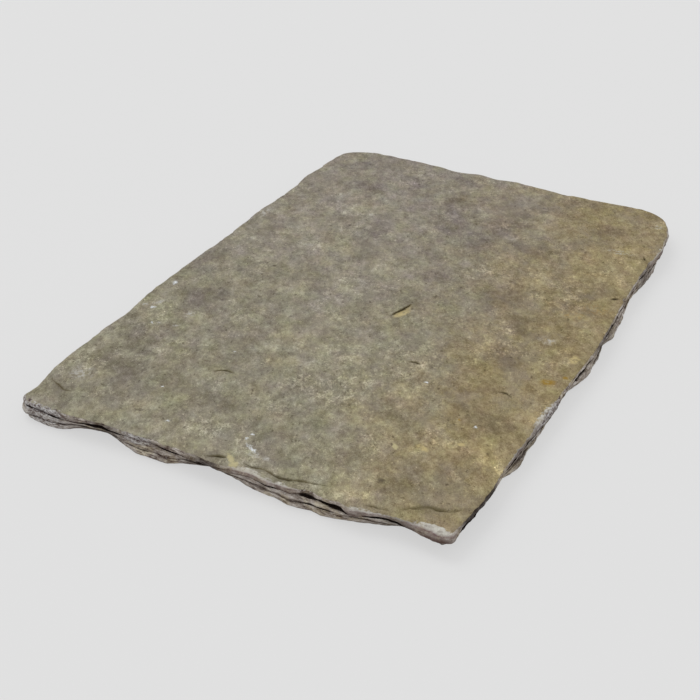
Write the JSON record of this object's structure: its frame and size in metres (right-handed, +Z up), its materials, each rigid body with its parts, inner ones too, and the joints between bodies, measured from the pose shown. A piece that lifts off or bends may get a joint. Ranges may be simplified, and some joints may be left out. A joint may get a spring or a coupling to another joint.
{
  "type": "whetstone",
  "caption": "Thin, roughly rectangular slab of natural bedded stone with a riven top face, chipped overhanging edges and a flat underside; lies flat to hone carving blades.",
  "frame": {"origin": "centre of the slab's bounding box in plan, on the flat underside that it lies on", "axes": "+X across the width, +Y along the length from the end with the deepest edge chips to the end with the larger rounded corner, +Z up out of the riven working face"},
  "size_m": [0.1596, 0.2314, 0.0074],
  "materials": {
    "stone": "matt, fine-grained riven stone: olive-grey with ochre, cream and mauve-grey mottling; edges brown-grey with pale crusted lips and dark open bedding"
  },
  "bodies": {
    "root": {"whetstone_slab": "stone"}
  },
  "joints": []
}
